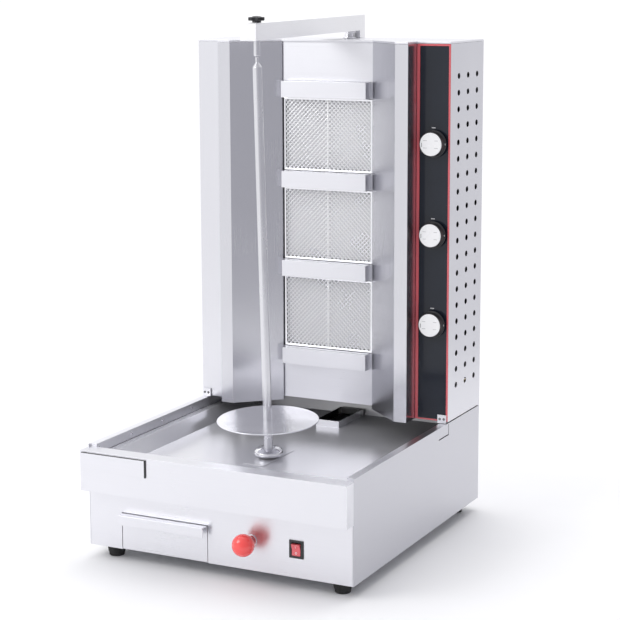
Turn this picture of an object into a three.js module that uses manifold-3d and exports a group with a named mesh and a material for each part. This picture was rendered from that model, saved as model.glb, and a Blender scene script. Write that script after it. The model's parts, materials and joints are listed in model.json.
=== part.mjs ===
// Vertical rotisserie broiler: a gas-fired upright spit roaster for food trucks.
//
// Machine frame while building, in millimetres: x to the right, y to the back, z up.
// y = 0 is the face of the base's front panel and z = 0 is the surface the feet stand on.
// The whole group is shifted at the end, so that the origin is under the middle of the machine.

import * as THREE from 'three';
import { mergeVertices } from 'three/addons/utils/BufferGeometryUtils.js';
import Module from 'manifold-3d';

const wasm = await Module();
wasm.setup();

// ---------------------------------------------------------------- driving dimensions

const SHEET = 1.5; // folded stainless sheet
const THIN_SHEET = 0.9; // the perforated side covers
const GAP = 0.3; // air left between neighbouring pieces

const HALF_WIDTH = 265;
const DEPTH = 583; // front panel to tower back
const FOOT_HEIGHT = 24;
const RIM_Z = 212; // top of the base's side panels
const RIM_WIDTH = 15;
const HEM_DROP = 13; // the apron's rear hem
const RIM_HEM_DROP = 17.6; // the side panels' hems reach down to the tray's lip

const APRON_FRONT = -27;
const APRON_BOTTOM = 132;
const APRON_TOP = 207;
const LEDGE_REAR = 5;

const TRAY_FLOOR = 170;
const TRAY_LIP = 194;
const DUCT = { half: 25, front: 446, rear: 562, top: 183 };

const TOWER_FRONT = 419;
const TOWER_BOTTOM = 214;
const TOWER_TOP = 926;
const TOP_COVER = 3.7; // thickness, with its hem
const BOX_INNER = 198.6; // inner edge of the two side boxes' fronts
const BACK_COVER_DEPTH = 9;

const WING = { flangeY: 376.2, outer: 198.2, inner: 172.4 };
const WING_EDGE = { half: 96.2, front: 446, back: 452 }; // the wings' short inner returns
const BURNER = { half: 94.5, face: 450, height: 141.5, pitch: 174.1 };
const FRONT_HALF = 95.8; // half width of the plain fronts around the burners
const BURNER_Z = [744.5, 570.4, 396.3]; // centres, top burner first
const BAR = { half: 89.5, front: 428.5, height: 31.5 };
const SKIRT_BOTTOM = 222;

const KNOB_X = 234.5;
const KNOB_Z = [739.5, 570.5, 401.5];
const PANEL_FACE = 418;
const TRIM_FACE = 416.5;

const DRAWER = { left: -195, right: -19, bottom: 25, top: 92, depth: 300, lip: 17 };
const SWITCH = { x: 156.9, z: 74.9 };
const PULL = { x: 69, z: 78, ballRadius: 20, ballY: -30 };

const SEAT = { y: 198, z: 179 }; // where the spit stands and tilts
const CARRIAGE_TRAVEL = 45;
const PIN_Y = 164.5; // the arm's top bearing
const PIN_TIP_Z = 906.2;
const SPIT_TILT = Math.atan((SEAT.y - PIN_Y) / (PIN_TIP_Z - SEAT.z));
const ROD_RADIUS = 8.25;
const DISC_RADIUS = 94;
const DISC_Z = 242;
const DISC_THICKNESS = 2.2;

const ARM = { half: 15.5, front: 131.5, rear: 587, bottom: 940.4, top: 970.4, wall: 2 };
const ARM_PIVOT_Y = 548;
const ARM_LEG_FRONT = 564;
const ARM_DROOP = THREE.MathUtils.degToRad(0.88); // the arm falls slightly towards the front
const ARM_TOP_AT_PIN = ARM.top - (ARM_PIVOT_Y - PIN_Y) * Math.tan(ARM_DROOP);

const HOLE = { radius: 5.5, columns: [460, 506.5, 552.5], rows: 20, top: 862, pitch: 30.7 };

const INLET_END = 620; // rear end of the gas inlet's hose tail
const BALL_FRONT = PULL.ballY - PULL.ballRadius;
const ORIGIN_Y = (INLET_END + BALL_FRONT) / 2;

// ---------------------------------------------------------------- materials

function metal(colour, roughness, metalness = 1) {
  return new THREE.MeshStandardMaterial({ color: colour, roughness, metalness });
}

const STEEL = metal(0xd9dae0, 0.32);
const MIRROR = metal(0xc9cad0, 0.08);
const WING_STEEL = metal(0xb0b1b8, 0.28);
const CHROME = metal(0xe6e7ea, 0.06);
const ZINC = metal(0x9fa2a8, 0.45);
const IRON = metal(0x55565a, 0.7);
const BRASS = metal(0xc09a4a, 0.35);
const GLOSS_BLACK = metal(0x2d3037, 0.12, 0);
const RED = metal(0xd8505a, 0.3, 0);
const BALL_RED = metal(0xe8343c, 0.25, 0);
const BLACK = metal(0x1c1c1e, 0.5, 0);
const CERAMIC = metal(0xe4e2dc, 0.9, 0);

// ---------------------------------------------------------------- shape helpers

// Merges shared corners and turns the faces outwards, which leaves one closed body.
function closed(geometry) {
  const bare = geometry.clone();
  bare.deleteAttribute('normal');
  bare.deleteAttribute('uv');
  const merged = mergeVertices(bare, 1e-4);
  const point = merged.attributes.position;
  const index = Array.from(merged.index.array);
  const corners = [new THREE.Vector3(), new THREE.Vector3(), new THREE.Vector3()];
  let volume = 0;
  const kept = [];
  for (let i = 0; i < index.length; i += 3) {
    const face = index.slice(i, i + 3);
    if (new Set(face).size < 3) continue;
    face.forEach((v, k) => corners[k].fromBufferAttribute(point, v));
    volume += corners[0].dot(corners[1].clone().cross(corners[2]));
    kept.push(face);
  }
  if (volume < 0) kept.forEach((face) => face.reverse());
  merged.setIndex(kept.flat());
  return merged;
}

function toSolid(geometry) {
  const merged = closed(geometry);
  const vertProperties = new Float32Array(merged.attributes.position.array);
  const triVerts = new Uint32Array(merged.index.array);
  return new wasm.Manifold(new wasm.Mesh({ numProp: 3, vertProperties, triVerts }));
}

function toGeometry(solid) {
  const mesh = solid.getMesh();
  const geometry = new THREE.BufferGeometry();
  geometry.setAttribute('position', new THREE.BufferAttribute(mesh.vertProperties, 3));
  geometry.setIndex(new THREE.BufferAttribute(mesh.triVerts, 1));
  return geometry;
}

function join(...geometries) {
  return toGeometry(geometries.map(toSolid).reduce((a, b) => a.add(b)));
}

function cut(geometry, ...tools) {
  return toGeometry(tools.map(toSolid).reduce((a, b) => a.subtract(b), toSolid(geometry)));
}

function box([x0, x1], [y0, y1], [z0, z1]) {
  const geometry = new THREE.BoxGeometry(x1 - x0, y1 - y0, z1 - z0);
  return geometry.translate((x0 + x1) / 2, (y0 + y1) / 2, (z0 + z1) / 2);
}

function polygon(points) {
  return points.map(([u, v]) => new THREE.Vector2(u, v));
}

function circle(u, v, radius, sides) {
  const turn = (2 * Math.PI) / sides;
  const corner = (i) => [u + radius * Math.cos((i + 0.5) * turn), v + radius * Math.sin((i + 0.5) * turn)];
  return Array.from({ length: sides }, (_, i) => corner(i));
}

function rectangle(u0, u1, v0, v1) {
  return [[u0, v0], [u1, v0], [u1, v1], [u0, v1]];
}

// A flat outline, with holes, pushed from low to high along the axis the plane leaves out.
// 'xz' is an outline in (x, z) pushed along y, 'yz' one in (y, z) along x, 'xy' along z.
function prism(plane, outline, low, high, holes = []) {
  const shape = new THREE.Shape(polygon(outline));
  shape.holes = holes.map((hole) => new THREE.Path(polygon(hole)));
  const geometry = new THREE.ExtrudeGeometry(shape, { depth: high - low, bevelEnabled: false });
  const x = new THREE.Vector3(1, 0, 0);
  const y = new THREE.Vector3(0, 1, 0);
  const z = new THREE.Vector3(0, 0, 1);
  const placed = new THREE.Matrix4();
  if (plane === 'xz') {
    placed.makeBasis(x, z, y.clone().negate()).setPosition(0, high, 0);
  } else if (plane === 'yz') {
    placed.makeBasis(y, z, x).setPosition(low, 0, 0);
  } else {
    placed.makeTranslation(0, 0, low);
  }
  return geometry.applyMatrix4(placed);
}

// The closed section of a folded sheet: the given outer line and the same line moved to its left.
function folded(line, thickness = SHEET) {
  const points = polygon(line);
  const normal = (a, b) => {
    const along = b.clone().sub(a).normalize();
    return new THREE.Vector2(-along.y, along.x);
  };
  const moved = points.map((p, i) => {
    const before = i > 0 ? normal(points[i - 1], p) : normal(p, points[i + 1]);
    const after = i < points.length - 1 ? normal(p, points[i + 1]) : before;
    const bisector = before.clone().add(after).normalize();
    return p.clone().addScaledVector(bisector, thickness / bisector.dot(before));
  });
  return [...points, ...moved.reverse()].map((p) => [p.x, p.y]);
}

// A turned piece: profile points are [radius, height], from the axis to the axis.
function turned(profile, sides = 24) {
  return new THREE.LatheGeometry(polygon(profile), sides).rotateX(Math.PI / 2);
}

// The same, lying along y with its height axis pointing to the front.
function turnedToFront(profile, sides = 24) {
  return turned(profile, sides).rotateX(Math.PI / 2);
}

function rod(radius, from, to, sides = 16) {
  const a = new THREE.Vector3(...from);
  const b = new THREE.Vector3(...to);
  const along = b.clone().sub(a);
  const geometry = new THREE.CylinderGeometry(radius, radius, along.length(), sides);
  const turn = new THREE.Quaternion().setFromUnitVectors(new THREE.Vector3(0, 1, 0), along.normalize());
  const middle = a.add(b).multiplyScalar(0.5);
  return geometry.applyQuaternion(turn).translate(middle.x, middle.y, middle.z);
}

// A round pipe along straight runs, with a bend that starts the given length before each corner.
function pipe(corners, radius, bend, sides = 8, steps = 16) {
  const points = corners.map((p) => new THREE.Vector3(...p));
  const path = new THREE.CurvePath();
  let start = points[0];
  for (let i = 1; i < points.length - 1; i += 1) {
    const corner = points[i];
    const into = corner.clone().sub(points[i - 1]).normalize();
    const out = points[i + 1].clone().sub(corner).normalize();
    const bendStart = corner.clone().addScaledVector(into, -bend);
    const bendEnd = corner.clone().addScaledVector(out, bend);
    path.add(new THREE.LineCurve3(start, bendStart));
    path.add(new THREE.QuadraticBezierCurve3(bendStart, corner, bendEnd));
    start = bendEnd;
  }
  path.add(new THREE.LineCurve3(start, points[points.length - 1]));
  const section = new THREE.Shape(polygon(circle(0, 0, radius, sides)));
  return new THREE.ExtrudeGeometry(section, { extrudePath: path, steps });
}

// A rectangular dish: rings are [half width, front, back, height], joined in order and closed
// at both ends, as a turned profile is.
function dish(rings) {
  const corners = [];
  for (const [half, front, back, z] of rings) {
    corners.push([-half, front, z], [half, front, z], [half, back, z], [-half, back, z]);
  }
  const last = corners.length - 4;
  const faces = [[0, 2, 1], [0, 3, 2], [last, last + 1, last + 2], [last, last + 2, last + 3]];
  for (let ring = 0; ring < rings.length - 1; ring += 1) {
    for (let side = 0; side < 4; side += 1) {
      const a = ring * 4 + side;
      const b = ring * 4 + ((side + 1) % 4);
      faces.push([a, b, b + 4], [a, b + 4, a + 4]);
    }
  }
  const geometry = new THREE.BufferGeometry();
  geometry.setAttribute('position', new THREE.Float32BufferAttribute(corners.flat(), 3));
  geometry.setIndex(faces.flat());
  return geometry;
}

function mirrored(geometry) {
  return closed(geometry).scale(-1, 1, 1);
}

const machine = new THREE.Group();

function add(name, geometry, material, parent = machine) {
  const mesh = new THREE.Mesh(closed(geometry), material);
  mesh.name = name;
  parent.add(mesh);
  return mesh;
}

// ---------------------------------------------------------------- base cabinet

function sidePanel() {
  const right = folded([
    [HALF_WIDTH, FOOT_HEIGHT],
    [HALF_WIDTH, RIM_Z],
    [HALF_WIDTH - RIM_WIDTH, RIM_Z],
    [HALF_WIDTH - RIM_WIDTH, RIM_Z - RIM_HEM_DROP],
  ]);
  const inner = [HALF_WIDTH - RIM_WIDTH - 1, HALF_WIDTH - SHEET];
  const clearOfLedge = box(inner, [-1, LEDGE_REAR + GAP], [190, RIM_Z + 1]);
  const clearOfRear = box([inner[0], inner[0] + 4], [580.7, DEPTH + 1], [190, 198.6]);
  const skin = [HALF_WIDTH - SHEET - 1, HALF_WIDTH + 1];
  const slitDown = box(skin, [423, 425], [190, RIM_Z - SHEET - 0.5]);
  const slitForward = box(skin, [376, 425], [189, 191]);
  const rimStart = LEDGE_REAR + GAP;
  const rimEnd = box(
    [HALF_WIDTH - RIM_WIDTH, HALF_WIDTH - 0.5],
    [rimStart, rimStart + SHEET],
    [RIM_Z - RIM_HEM_DROP, RIM_Z - 0.5],
  );
  const sheet = cut(prism('xz', right, 0, DEPTH), clearOfLedge, clearOfRear, slitDown, slitForward);
  return join(sheet, rimEnd);
}

function frontPanel() {
  const half = HALF_WIDTH - SHEET - GAP;
  const slack = 0.9;
  const outline = [
    [-half, FOOT_HEIGHT],
    [DRAWER.left - slack, FOOT_HEIGHT],
    [DRAWER.left - slack, DRAWER.top + slack],
    [DRAWER.right + slack, DRAWER.top + slack],
    [DRAWER.right + slack, FOOT_HEIGHT],
    [half, FOOT_HEIGHT],
    [half, APRON_TOP - SHEET - GAP],
    [-half, APRON_TOP - SHEET - GAP],
  ];
  const switchHole = rectangle(SWITCH.x - 11.3, SWITCH.x + 11.3, SWITCH.z - 14.1, SWITCH.z + 14.1);
  const pullHole = circle(PULL.x, PULL.z, 9.3, 16);
  return prism('xz', outline, 0, SHEET, [switchHole, pullHole]);
}

function apron() {
  const line = [
    [-GAP, APRON_BOTTOM],
    [APRON_FRONT, APRON_BOTTOM],
    [APRON_FRONT, APRON_TOP],
    [LEDGE_REAR, APRON_TOP],
    [LEDGE_REAR, APRON_TOP - HEM_DROP],
  ];
  const section = folded(line, -SHEET);
  const channel = prism('yz', section, -HALF_WIDTH, HALF_WIDTH);
  const cheek = rectangle(APRON_FRONT, -GAP, APRON_BOTTOM, APRON_TOP);
  const right = prism('yz', cheek, HALF_WIDTH - SHEET, HALF_WIDTH);
  const left = prism('yz', cheek, -HALF_WIDTH, -HALF_WIDTH + SHEET);
  const besidePanel = box([HALF_WIDTH - SHEET - GAP, HALF_WIDTH + 1], [-GAP, 10], [100, 220]);
  return cut(join(channel, right, left), besidePanel, mirrored(besidePanel));
}

function dripTray() {
  const lipHalf = HALF_WIDTH - RIM_WIDTH - 0.5;
  const under = TRAY_LIP - SHEET;
  const shell = dish([
    [215.8, 38.8, 566.8, TRAY_FLOOR - SHEET],
    [234.8, 19.8, 570.8, under],
    [lipHalf, LEDGE_REAR + 2 * GAP, 579, under],
    [lipHalf, LEDGE_REAR + 2 * GAP, 579, TRAY_LIP],
    [234, 20.6, 570, TRAY_LIP],
    [215, 39.6, 566, TRAY_FLOOR],
  ]);
  const shaftSlot = box([-10, 10], [SEAT.y - CARRIAGE_TRAVEL - 9, SEAT.y + 9], [160, 180]);
  const below = TRAY_FLOOR - SHEET;
  const collar = box([-DUCT.half, DUCT.half], [DUCT.front, DUCT.rear], [below, DUCT.top]);
  const throat = box(
    [-DUCT.half + SHEET, DUCT.half - SHEET],
    [DUCT.front + SHEET, DUCT.rear - SHEET],
    [below - 1, DUCT.top + 1],
  );
  const spout = rod(17, [-107, 70, 150], [-107, 70, TRAY_FLOOR - 0.5], 20);
  const drain = rod(15, [-107, 70, 149], [-107, 70, TRAY_FLOOR + 1], 20);
  return cut(join(shell, collar, spout), shaftSlot, throat, drain);
}

// The floor carries the two angle guides that the grease drawer slides between.
function baseFloor() {
  const floor = box([-263, 263], [2, 581], [24.2, 25.7]);
  const left = folded([[-197.5, 60], [-197.5, 25], [-180, 25]], 2.4);
  const right = folded([[-34, 25], [-16.5, 25], [-16.5, 60]], 2.4);
  return join(floor, prism('xz', left, 4, 300), prism('xz', right, 4, 300));
}

const foot = turned([[0, 0], [14, 0], [18, FOOT_HEIGHT - 0.1], [0, FOOT_HEIGHT - 0.1]], 20);
const footPlaces = [[-229, 33], [229, 33], [-229, 550], [229, 550]];

add('base_floor', baseFloor(), ZINC);
add('base_right_panel', sidePanel(), STEEL);
add('base_left_panel', mirrored(sidePanel()), STEEL);
add('base_front_panel', frontPanel(), STEEL);
add('base_rear_panel', prism('xz', rectangle(-263.2, 263.2, FOOT_HEIGHT, 198), 581.3, 582.8, [
  circle(-180, 60, 8.3, 16),
]), STEEL);
add('tray_apron', apron(), STEEL);
add('drip_tray', dripTray(), MIRROR);
footPlaces.forEach(([x, y], i) => add(`foot_${i + 1}`, foot.clone().translate(x, y, 0), BLACK));

// ---------------------------------------------------------------- grease drawer

function greaseDrawer() {
  const front = folded([
    [SHEET, DRAWER.bottom],
    [SHEET, DRAWER.top],
    [-DRAWER.lip, DRAWER.top],
    [-DRAWER.lip, DRAWER.top - 18],
  ]);
  const face = prism('yz', front, DRAWER.left, DRAWER.right);
  const half = (DRAWER.right - DRAWER.left) / 2 - 5;
  const wall = 1.2;
  const bin = dish([
    [half, 1, DRAWER.depth, 28],
    [half, 1, DRAWER.depth, 80],
    [half - wall, 1 + wall, DRAWER.depth - wall, 80],
    [half - wall, 1 + wall, DRAWER.depth - wall, 28 + wall],
  ]).translate((DRAWER.left + DRAWER.right) / 2, 0, 0);
  return join(face, bin);
}

add('grease_drawer', greaseDrawer(), STEEL);

// ---------------------------------------------------------------- power switch

function switchBezel() {
  const flange = box([-13.5, 13.5], [-2, -GAP], [-15.9, 15.9]);
  const body = box([-11, 11], [-1, 24], [-13.8, 13.8]);
  const well = box([-8.6, 8.6], [-3, 18], [-11.9, 11.9]);
  return cut(join(flange, body), well).translate(SWITCH.x, 0, SWITCH.z);
}

const ROCKER_TILT = THREE.MathUtils.degToRad(11);

function addRocker() {
  const section = [[-5.5, 10.7], [-3.2, 0], [-5.5, -10.7], [3.5, -9.2], [6.5, 0], [3.5, 9.2]];
  const rocker = add('switch_rocker', prism('yz', section, -8.2, 8.2), RED);
  rocker.position.set(SWITCH.x, 1, SWITCH.z);
  rocker.rotation.x = ROCKER_TILT;
}

add('switch_bezel', switchBezel(), BLACK);
addRocker();

// ---------------------------------------------------------------- drive carriage and its pull

const PLATE_Z = 156;
const PLATE_HALF = 55; // half length of the carriage plate

// The plate that carries the motor, with a neck up through the tray's slot to the plate that
// covers the slot, and a bracket down to the pull rod.
function driveCarriage() {
  const front = SEAT.y - PLATE_HALF;
  const plate = box([-61.3, 61.3], [front, SEAT.y + PLATE_HALF], [PLATE_Z, PLATE_Z + 3]);
  const outline = [[30, PLATE_Z + 1], [30, 66], [80, 66], [80, 90], [48, 90], [48, PLATE_Z + 1]];
  const bracket = prism('xz', outline, front, front + 3);
  const length = CARRIAGE_TRAVEL + 15;
  const cover = box([-22, 22], [SEAT.y - length, SEAT.y + length], [TRAY_FLOOR + GAP, TRAY_FLOOR + 1]);
  const neck = rod(9, [0, SEAT.y, PLATE_Z + 2], [0, SEAT.y, TRAY_FLOOR + 0.8]);
  const bore = rod(7, [0, SEAT.y, PLATE_Z - 1], [0, SEAT.y, TRAY_FLOOR + 3]);
  return cut(join(plate, bracket, cover, neck), bore);
}

// Two folded rails hung under the tray, tied at their rear ends.
function carriageRails() {
  const section = folded([[54, 154.2], [63.3, 154.2], [63.3, 166.7], [75, 166.7]]);
  const right = prism('xz', section, 85, 275);
  const tie = box([-63, 63], [270, 275], [154.2, 166]);
  return join(right, mirrored(right), tie);
}

function gearMotor() {
  const can = rod(30, [0, SEAT.y, 98], [0, SEAT.y, 140], 24);
  const gearbox = box([-32, 32], [SEAT.y - 32, SEAT.y + 32], [139, PLATE_Z - GAP]);
  const shaft = rod(6, [0, SEAT.y, 148], [0, SEAT.y, 171.9]);
  return join(can, gearbox, shaft);
}

function pullBush() {
  const profile = [
    [4.4, 2.4], [8, 2.4], [10.5, 1.8], [10.5, GAP], [9, GAP], [9, -8], [4.4, -8], [4.4, 2.4],
  ];
  return turnedToFront(profile, 20).translate(PULL.x, 0, PULL.z);
}

const bracketFace = SEAT.y - PLATE_HALF;

add('drive_carriage', driveCarriage(), MIRROR);
add('carriage_rails', carriageRails(), ZINC);
add('gear_motor', gearMotor(), ZINC);
add('pull_bush', pullBush(), CHROME);
add('pull_rod', rod(4, [PULL.x, PULL.ballY + PULL.ballRadius + GAP, PULL.z], [
  PULL.x, bracketFace - GAP, PULL.z,
]), CHROME);
add('pull_ball', new THREE.SphereGeometry(PULL.ballRadius, 20, 14).translate(
  PULL.x, PULL.ballY, PULL.z,
), BALL_RED);

// ---------------------------------------------------------------- spit

const spit = new THREE.Group();
spit.position.set(0, SEAT.y, SEAT.z);
spit.rotation.x = SPIT_TILT;
machine.add(spit);

// A squat turned hub whose skirt hides the seat it stands on.
function boss() {
  return turned([
    [0, -4.5], [12.5, -4.5], [12.5, -6.3], [20, -6.3], [25, -3.5], [27, 0.3],
    [26, 4], [21.5, 7.6], [13, 9.8], [8.6, 9.8], [8.6, 2], [0, 2],
  ], 24);
}

const DISC_TOP = (DISC_Z - SEAT.z) / Math.cos(SPIT_TILT);

// The rod has a turned shoulder that the disc rests on, and a thin spigot at its top end.
function spitRod() {
  const tip = 725.9;
  const shoulder = DISC_TOP - DISC_THICKNESS - GAP;
  return turned([
    [0, 2.3], [ROD_RADIUS, 2.3], [ROD_RADIUS, shoulder - 12], [14, shoulder - 10], [14, shoulder],
    [ROD_RADIUS, shoulder], [ROD_RADIUS, tip - 17], [3, tip - 9], [3, tip], [0, tip],
  ], 20);
}

function meatDisc() {
  const bore = ROD_RADIUS + GAP;
  return turned([
    [bore, DISC_TOP],
    [DISC_RADIUS - 1, DISC_TOP],
    [DISC_RADIUS, DISC_TOP - 1],
    [DISC_RADIUS, DISC_TOP - DISC_THICKNESS],
    [bore, DISC_TOP - DISC_THICKNESS],
    [bore, DISC_TOP],
  ], 40);
}

function swivelSeat() {
  return turned([[6.8, -7.1], [12, -7.1], [12, -4.9], [6.8, -4.9], [6.8, -7.1]], 20);
}

add('swivel_seat', swivelSeat(), BRASS, spit);
add('drive_boss', boss(), CHROME, spit);
add('spit_rod', spitRod(), STEEL, spit);
add('meat_disc', meatDisc(), STEEL, spit);

// ---------------------------------------------------------------- tower casing

const PANEL_TOP = TOWER_TOP - TOP_COVER - GAP;

function sideCover() {
  const outline = rectangle(TOWER_FRONT + 1, DEPTH, TOWER_BOTTOM, PANEL_TOP);
  const holes = [];
  for (const y of HOLE.columns) {
    for (let row = 0; row < HOLE.rows; row += 1) {
      holes.push(circle(y, HOLE.top - row * HOLE.pitch, HOLE.radius, 8));
    }
  }
  return prism('yz', outline, HALF_WIDTH - 0.5 - THIN_SHEET, HALF_WIDTH - 0.5, holes);
}

function wing() {
  const section = folded([
    [WING.outer, TOWER_FRONT],
    [WING.outer, WING.flangeY],
    [WING.inner, WING.flangeY],
    [WING_EDGE.half, WING_EDGE.front],
    [WING_EDGE.half, WING_EDGE.back],
  ], -SHEET);
  return prism('xy', section, TOWER_BOTTOM + 1.5, PANEL_TOP);
}

function topCover() {
  const right = [
    [WING_EDGE.half, WING_EDGE.front - 1],
    [WING.inner - 0.5, WING.flangeY - 1],
    [WING.outer, WING.flangeY - 1],
    [WING.outer, TOWER_FRONT - 2],
    [HALF_WIDTH - 0.3, TOWER_FRONT - 2],
    [HALF_WIDTH - 0.3, DEPTH],
  ];
  const left = right.map(([x, y]) => [-x, y]).reverse();
  return prism('xy', [...right, ...left], TOWER_TOP - TOP_COVER, TOWER_TOP);
}

function backCover() {
  const outer = box([-262, 262], [DEPTH + GAP, DEPTH + BACK_COVER_DEPTH], [194, TOWER_TOP - 2]);
  const inner = box([-260.5, 260.5], [DEPTH - 1, DEPTH + BACK_COVER_DEPTH - SHEET], [195.5, TOWER_TOP - 3.5]);
  const inletHole = rod(11, [KNOB_X, DEPTH, 250], [KNOB_X, DEPTH + 12, 250]);
  return cut(outer, inner, inletHole);
}

add('right_side_cover', sideCover(), STEEL);
add('left_side_cover', mirrored(sideCover()), STEEL);
add('right_wing', wing(), WING_STEEL);
add('left_wing', mirrored(wing()), WING_STEEL);
add('top_cover', topCover(), STEEL);
add('back_cover', backCover(), STEEL);
add('left_front_panel', prism('xz', rectangle(-264.5, -BOX_INNER, TOWER_BOTTOM, PANEL_TOP), PANEL_FACE,
  PANEL_FACE + SHEET), STEEL);

// ---------------------------------------------------------------- burner section

// A front panel with its upper and lower edges folded back.
function foldedFront(low, high) {
  const { face } = BURNER;
  const section = folded([[face + 12, low], [face, low], [face, high], [face + 12, high]], -SHEET);
  return prism('yz', section, -FRONT_HALF, FRONT_HALF);
}

// A pan with closed ends, open at its back, that stands proud of the plate it is welded to.
function burnerBar(z) {
  const { half, front, height } = BAR;
  const back = BURNER.face + SHEET;
  const pan = box([-half, half], [front, back], [z - height / 2, z + height / 2]);
  const plate = box([-FRONT_HALF, FRONT_HALF], [BURNER.face, back], [z - height / 2, z + height / 2]);
  const inside = half - SHEET;
  const reach = height / 2 - SHEET;
  const hollow = box([-inside, inside], [front + SHEET, back + 1], [z - reach, z + reach]);
  return cut(join(pan, plate), hollow);
}

const HALF_BURNER = BURNER.height / 2;
const barCentres = [BURNER_Z[0] + BURNER.pitch, ...BURNER_Z].map((z) => z - BURNER.pitch / 2);

function burnerGuard(z) {
  const { half, face } = BURNER;
  const frame = cut(
    box([-half, half], [face, face + 3], [z - HALF_BURNER + GAP, z + HALF_BURNER - GAP]),
    box([-half + 5, half - 5], [face - 1, face + 4], [z - HALF_BURNER + 5, z + HALF_BURNER - 5]),
  );
  const inner = half - 4;
  const tall = HALF_BURNER - 4;
  return join(frame, box([-inner, inner], [face + 1.6, face + 2.4], [z - tall, z + tall]));
}

const THROAT_Y = 492; // the burners' gas throats

function burnerHousing(z) {
  const shell = box([-97, 97], [454, 512], [z - 69, z + 69]);
  const pocket = box([-94.5, 94.5], [453, 509], [z - 67, z + 67]);
  const venturi = rod(14, [96, THROAT_Y, z], [150, THROAT_Y, z], 20);
  const bore = rod(11, [90, THROAT_Y, z], [151, THROAT_Y, z], 20);
  return cut(join(cut(shell, pocket), venturi), bore);
}

// Two ceramic plates cemented edge to edge, with the joint showing as a shallow groove.
function burnerPlate(z) {
  const slab = box([-92.3, 92.3], [458, 471], [z - 66, z + 66]);
  const groove = box([-0.8, 0.8], [457, 459.5], [z - 67, z + 67]);
  return cut(slab, groove);
}

add('burner_header', foldedFront(barCentres[0] + BAR.height / 2 + GAP, PANEL_TOP), STEEL);
add('burner_skirt', foldedFront(SKIRT_BOTTOM, barCentres[3] - BAR.height / 2 - GAP), STEEL);
barCentres.forEach((z, i) => {
  add(`burner_bar_${i + 1}`, burnerBar(z), STEEL);
});
BURNER_Z.forEach((z, i) => {
  add(`burner_plate_${i + 1}`, burnerPlate(z), CERAMIC);
  add(`burner_guard_${i + 1}`, burnerGuard(z), STEEL);
  add(`burner_housing_${i + 1}`, burnerHousing(z), IRON);
});

// ---------------------------------------------------------------- controls and gas train

function controlTrim() {
  const outer = rectangle(BOX_INNER, HALF_WIDTH, TOWER_BOTTOM + 1.8, PANEL_TOP - 0.2);
  const inner = rectangle(204.4, 261.5, TOWER_BOTTOM + 4.5, PANEL_TOP - 4);
  return prism('xz', outer, TRIM_FACE, TOWER_FRONT + 0.5, [inner]);
}

function controlPanel() {
  const outline = rectangle(204.7, 261.2, TOWER_BOTTOM + 4.8, PANEL_TOP - 4.3);
  const holes = KNOB_Z.map((z) => circle(KNOB_X, z, 6, 16));
  return prism('xz', outline, PANEL_FACE, PANEL_FACE + SHEET, holes);
}

function gasValve(z) {
  const body = box([KNOB_X - 14, KNOB_X + 14], [424, 452], [z - 14, z + 14]);
  const bore = rod(4.4, [KNOB_X, 423, z], [KNOB_X, 438, z]);
  return cut(body, bore);
}

function valveStem(z) {
  return rod(4, [KNOB_X, 405, z], [KNOB_X, 432, z], 12);
}

// The profile runs from the blind hole for the stem, over the skirt and the grip, to the face.
function controlKnob(z) {
  const profile = [
    [0, 9], [4.4, 9], [4.4, 0], [24, 0], [25.5, 1.5], [25.5, 3], [23, 4.5],
    [22.5, 14.5], [21.3, 16], [0, 16],
  ];
  return turnedToFront(profile, 24).translate(KNOB_X, 413.3, z);
}

// The hose tail at the back: a hexagon seat and three barbs, bored through to the pipe.
function gasInlet() {
  const end = INLET_END - 558;
  const tail = [[0, 0], [7, 0], [7, 14], [10, 14], [10, 40], [7.5, 40]];
  for (let barb = 0; barb < 3; barb += 1) {
    tail.push([5.2, 42 + barb * 6], [6.8, 42.5 + barb * 6]);
  }
  tail.push([5, end], [3.2, end], [3.2, 30], [0, 30]);
  return turned(tail, 18).rotateX(-Math.PI / 2).translate(KNOB_X, 558, 250);
}

// The soldered gas train: the supply pipe, its three valves and a line to each burner's throat.
function gasTrain() {
  const x = 255.5;
  const supply = pipe([[x, 438, 775], [x, 438, 250], [x - 2, 500, 250], [KNOB_X, 530, 250], [
    KNOB_X, 560, 250,
  ]], 6.5, 12, 10, 28);
  const pieces = [supply, gasInlet()];
  KNOB_Z.forEach((z, i) => {
    pieces.push(gasValve(z));
    pieces.push(rod(5, [KNOB_X + 13, 438, z], [x, 438, z], 12));
    pieces.push(pipe([[KNOB_X, 451, z], [KNOB_X, THROAT_Y, z], [158, THROAT_Y, BURNER_Z[i]]], 4, 14));
  });
  return join(...pieces);
}

function cableGland() {
  const profile = [[0, 0], [8, 0], [8, 12], [10, 12], [10, 18], [8, 20], [6.5, 26], [4, 26], [4, 8], [0, 8]];
  return turned(profile, 18).rotateX(-Math.PI / 2).translate(-180, 571, 60);
}

add('control_panel', controlPanel(), GLOSS_BLACK);
add('control_panel_trim', controlTrim(), RED);
add('gas_train', gasTrain(), BRASS);
add('cable_gland', cableGland(), BLACK);
KNOB_Z.forEach((z, i) => {
  add(`valve_stem_${i + 1}`, valveStem(z), ZINC);
  add(`control_knob_${i + 1}`, controlKnob(z), BLACK);
});

// ---------------------------------------------------------------- top arm

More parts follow.
